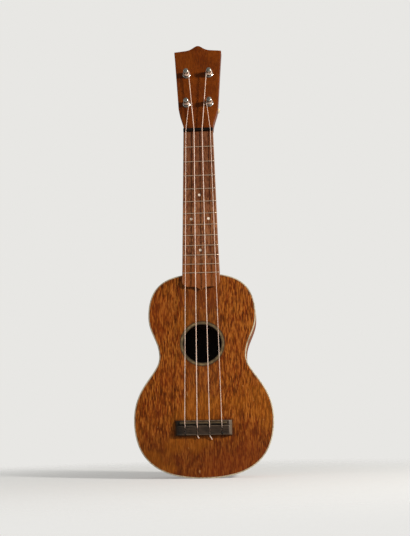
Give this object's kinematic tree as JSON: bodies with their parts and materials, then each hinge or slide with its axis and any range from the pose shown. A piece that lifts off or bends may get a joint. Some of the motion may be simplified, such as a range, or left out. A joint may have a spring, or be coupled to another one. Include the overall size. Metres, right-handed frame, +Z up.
{
  "type": "soprano ukulele",
  "caption": "Soprano ukulele with a waisted wooden box, bound soundboard, fretted neck, friction pegs and gut strings.",
  "frame": {"origin": "bottom of the tail, on the centre line, in the middle of the body's depth, where a stand's ledge carries the instrument", "axes": "+Z up along the neck to the headstock, -Y out of the soundboard, +X to the right as seen from the front"},
  "size_m": [0.1616, 0.0676, 0.5263],
  "materials": {
    "body_wood": "worn satin varnish over straight-grained red-brown wood",
    "neck_wood": "satin varnish, darker red-brown",
    "fretboard_wood": "oiled, worn by fingers",
    "inner_wood": "bare, unvarnished",
    "bridge_wood": "near-black, satin",
    "saddle_wood": "olive-brown, satin",
    "ebony": "black, polished",
    "ivoroid": "aged cream celluloid, polished",
    "nickel": "nickel plate, a little dulled",
    "fret_metal": "worn, polished along the crown",
    "pearl": "mother-of-pearl, polished",
    "string_gut": "pale translucent gut, satin"
  },
  "bodies": {
    "instrument": {"soundboard": "body_wood", "back_plate": "body_wood", "side_bass": "body_wood", "side_treble": "body_wood", "binding": "ivoroid", "soundhole_ring": "ivoroid", "neck_block": "inner_wood", "tail_block": "inner_wood", "top_lining": "inner_wood", "back_lining": "inner_wood", "top_brace_upper": "inner_wood", "top_brace_lower": "inner_wood", "back_brace_upper": "inner_wood", "back_brace_lower": "inner_wood", "bridge_patch": "inner_wood", "bridge": "bridge_wood", "saddle": "saddle_wood", "nut": "ebony", "neck": "neck_wood", "fretboard": "fretboard_wood", "fret_01": "fret_metal", "fret_02": "fret_metal", "fret_03": "fret_metal", "fret_04": "fret_metal", "fret_05": "fret_metal", "fret_06": "fret_metal", "fret_07": "fret_metal", "fret_08": "fret_metal", "fret_09": "fret_metal", "fret_10": "fret_metal", "fret_11": "fret_metal", "fret_12": "fret_metal", "fret_dot_1": "pearl", "fret_dot_2": "pearl", "fret_dot_3": "pearl", "fret_dot_4": "pearl", "string_1": "string_gut", "string_2": "string_gut", "string_3": "string_gut", "string_4": "string_gut", "peg_ferrule_1": "nickel", "peg_ferrule_2": "nickel", "peg_ferrule_3": "nickel", "peg_ferrule_4": "nickel"},
    "peg_1": {"peg_post_1": "nickel", "peg_button_1": "ivoroid", "peg_screw_1": "nickel", "peg_winding_1": "string_gut"},
    "peg_2": {"peg_post_2": "nickel", "peg_button_2": "ivoroid", "peg_screw_2": "nickel", "peg_winding_2": "string_gut"},
    "peg_3": {"peg_post_3": "nickel", "peg_button_3": "ivoroid", "peg_screw_3": "nickel", "peg_winding_3": "string_gut"},
    "peg_4": {"peg_post_4": "nickel", "peg_button_4": "ivoroid", "peg_screw_4": "nickel", "peg_winding_4": "string_gut"}
  },
  "joints": [
    {"name": "peg_1_turn", "type": "hinge", "parent": "instrument", "child": "peg_1", "pos_m": [-0.014, -0.02452, 0.44756], "axis": [0, -0.993, 0.1184], "continuous": true},
    {"name": "peg_2_turn", "type": "hinge", "parent": "instrument", "child": "peg_2", "pos_m": [-0.014, -0.01985, 0.48679], "axis": [0, -0.993, 0.1184], "continuous": true},
    {"name": "peg_3_turn", "type": "hinge", "parent": "instrument", "child": "peg_3", "pos_m": [0.014, -0.01985, 0.48679], "axis": [0, -0.993, 0.1184], "continuous": true},
    {"name": "peg_4_turn", "type": "hinge", "parent": "instrument", "child": "peg_4", "pos_m": [0.014, -0.02452, 0.44756], "axis": [0, -0.993, 0.1184], "continuous": true}
  ]
}
